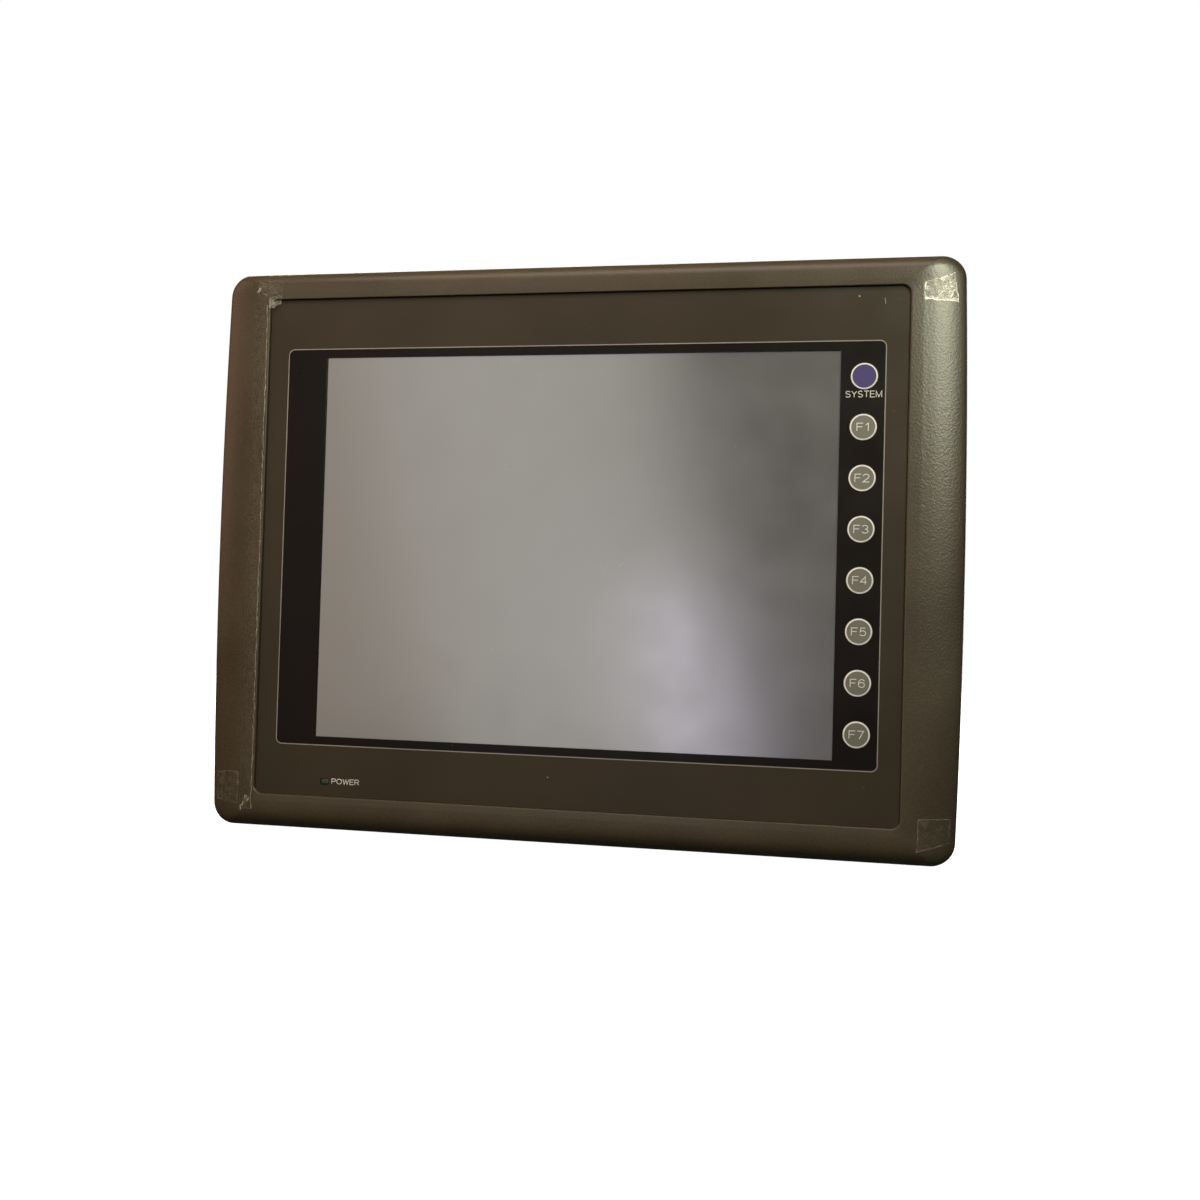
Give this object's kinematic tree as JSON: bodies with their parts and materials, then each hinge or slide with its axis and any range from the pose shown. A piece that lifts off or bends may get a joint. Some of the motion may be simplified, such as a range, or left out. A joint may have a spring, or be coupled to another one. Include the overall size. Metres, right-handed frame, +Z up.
{
  "type": "hmi touch panel",
  "caption": "Flush-mounting industrial operator panel with a colour touch screen, a column of function keys beside it and a convex plastic bezel.",
  "frame": {"origin": "centre of the panel cut-out, in the plane where the gasket meets the cabinet door", "axes": "+X to the right seen from the front, +Y into the cabinet, +Z up; the screen faces -Y"},
  "size_m": [0.3066, 0.0594, 0.2334],
  "materials": {
    "front_bezel": "fine texture",
    "overlay_sheet": "semi-matt film",
    "touch_film": "anti-glare film",
    "touch_glass": "clear",
    "key_grey": "semi-matt film",
    "key_violet": "semi-matt film",
    "key_contact_board": "laminate",
    "power_led": "translucent",
    "panel_gasket": "foam rubber",
    "lcd_front_frame": "plated sheet",
    "lcd_cell": "polarised cell",
    "light_guide": "acrylic",
    "lamp_tube": "white phosphor",
    "lcd_rear_tray": "plain sheet",
    "chassis_plate": "zinc plated",
    "circuit_board": "solder mask",
    "lcd_cable": "ribbon",
    "rear_cover": "fine texture",
    "screw_steel": "zinc plated",
    "terminal_block": "moulded",
    "door_plastic": "fine texture",
    "serial_connector": "tin plated",
    "modular_jack": "moulded",
    "battery": "shrink sleeve",
    "card_socket": "moulded",
    "dip_switch_body": "moulded",
    "dip_lever": "moulded"
  },
  "bodies": {
    "panel": {"front_bezel": "front_bezel", "overlay_sheet": "overlay_sheet", "touch_film": "touch_film", "touch_glass": "touch_glass", "key_contact_board": "key_contact_board", "power_led": "power_led", "panel_gasket": "panel_gasket", "lcd_front_frame": "lcd_front_frame", "lcd_cell": "lcd_cell", "light_guide": "light_guide", "backlight_lamp_top": "lamp_tube", "backlight_lamp_bottom": "lamp_tube", "lcd_rear_tray": "lcd_rear_tray", "chassis_plate": "chassis_plate", "inverter_board": "circuit_board", "power_board": "circuit_board", "main_board": "circuit_board", "lcd_cable": "lcd_cable", "rear_cover": "rear_cover", "rear_cover_screw_1": "screw_steel", "rear_cover_screw_2": "screw_steel", "rear_cover_screw_3": "screw_steel", "rear_cover_screw_4": "screw_steel", "terminal_block": "terminal_block", "terminal_screw_1": "screw_steel", "terminal_screw_2": "screw_steel", "terminal_screw_3": "screw_steel", "serial_connector": "serial_connector", "jack_post_1": "screw_steel", "jack_post_2": "screw_steel", "modular_jack_1": "modular_jack", "modular_jack_2": "modular_jack", "battery": "battery", "card_socket": "card_socket", "dip_switch_body": "dip_switch_body"},
    "key_system_body": {"key_system": "key_violet"},
    "key_f1_body": {"key_f1": "key_grey"},
    "key_f2_body": {"key_f2": "key_grey"},
    "key_f3_body": {"key_f3": "key_grey"},
    "key_f4_body": {"key_f4": "key_grey"},
    "key_f5_body": {"key_f5": "key_grey"},
    "key_f6_body": {"key_f6": "key_grey"},
    "key_f7_body": {"key_f7": "key_grey"},
    "terminal_cover_body": {"terminal_cover": "door_plastic"},
    "battery_cover_body": {"battery_cover": "door_plastic"},
    "card_door_body": {"card_door": "door_plastic"},
    "dip_lever_1_body": {"dip_lever_1": "dip_lever"},
    "dip_lever_2_body": {"dip_lever_2": "dip_lever"},
    "dip_lever_3_body": {"dip_lever_3": "dip_lever"},
    "dip_lever_4_body": {"dip_lever_4": "dip_lever"},
    "dip_lever_5_body": {"dip_lever_5": "dip_lever"},
    "dip_lever_6_body": {"dip_lever_6": "dip_lever"},
    "dip_lever_7_body": {"dip_lever_7": "dip_lever"},
    "dip_lever_8_body": {"dip_lever_8": "dip_lever"}
  },
  "joints": [
    {"name": "key_system_press", "type": "slide", "parent": "panel", "child": "key_system_body", "axis": [0, 1, 0], "range_m": [0, 0.0004], "stiffness_N_per_m": 2000},
    {"name": "key_f1_press", "type": "slide", "parent": "panel", "child": "key_f1_body", "axis": [0, 1, 0], "range_m": [0, 0.0004], "stiffness_N_per_m": 2000},
    {"name": "key_f2_press", "type": "slide", "parent": "panel", "child": "key_f2_body", "axis": [0, 1, 0], "range_m": [0, 0.0004], "stiffness_N_per_m": 2000},
    {"name": "key_f3_press", "type": "slide", "parent": "panel", "child": "key_f3_body", "axis": [0, 1, 0], "range_m": [0, 0.0004], "stiffness_N_per_m": 2000},
    {"name": "key_f4_press", "type": "slide", "parent": "panel", "child": "key_f4_body", "axis": [0, 1, 0], "range_m": [0, 0.0004], "stiffness_N_per_m": 2000},
    {"name": "key_f5_press", "type": "slide", "parent": "panel", "child": "key_f5_body", "axis": [0, 1, 0], "range_m": [0, 0.0004], "stiffness_N_per_m": 2000},
    {"name": "key_f6_press", "type": "slide", "parent": "panel", "child": "key_f6_body", "axis": [0, 1, 0], "range_m": [0, 0.0004], "stiffness_N_per_m": 2000},
    {"name": "key_f7_press", "type": "slide", "parent": "panel", "child": "key_f7_body", "axis": [0, 1, 0], "range_m": [0, 0.0004], "stiffness_N_per_m": 2000},
    {"name": "terminal_cover_hinge", "type": "hinge", "parent": "panel", "child": "terminal_cover_body", "pos_m": [-0.092, 0.0465, -0.05], "axis": [1, 0, 0], "range_deg": [0, 90]},
    {"name": "battery_cover_hinge", "type": "hinge", "parent": "panel", "child": "battery_cover_body", "pos_m": [-0.092, 0.0465, 0.062], "axis": [1, 0, 0], "range_deg": [0, 90]},
    {"name": "card_door_hinge", "type": "hinge", "parent": "panel", "child": "card_door_body", "pos_m": [0.1255, 0.0385, 0.058], "axis": [0, -1, 0], "range_deg": [0, 90]},
    {"name": "dip_lever_1_slide", "type": "slide", "parent": "panel", "child": "dip_lever_1_body", "axis": [1, 0, 0], "range_m": [0, 0.002]},
    {"name": "dip_lever_2_slide", "type": "slide", "parent": "panel", "child": "dip_lever_2_body", "axis": [1, 0, 0], "range_m": [0, 0.002]},
    {"name": "dip_lever_3_slide", "type": "slide", "parent": "panel", "child": "dip_lever_3_body", "axis": [1, 0, 0], "range_m": [0, 0.002]},
    {"name": "dip_lever_4_slide", "type": "slide", "parent": "panel", "child": "dip_lever_4_body", "axis": [1, 0, 0], "range_m": [0, 0.002]},
    {"name": "dip_lever_5_slide", "type": "slide", "parent": "panel", "child": "dip_lever_5_body", "axis": [1, 0, 0], "range_m": [0, 0.002]},
    {"name": "dip_lever_6_slide", "type": "slide", "parent": "panel", "child": "dip_lever_6_body", "axis": [1, 0, 0], "range_m": [0, 0.002]},
    {"name": "dip_lever_7_slide", "type": "slide", "parent": "panel", "child": "dip_lever_7_body", "axis": [1, 0, 0], "range_m": [0, 0.002]},
    {"name": "dip_lever_8_slide", "type": "slide", "parent": "panel", "child": "dip_lever_8_body", "axis": [1, 0, 0], "range_m": [0, 0.002]}
  ]
}
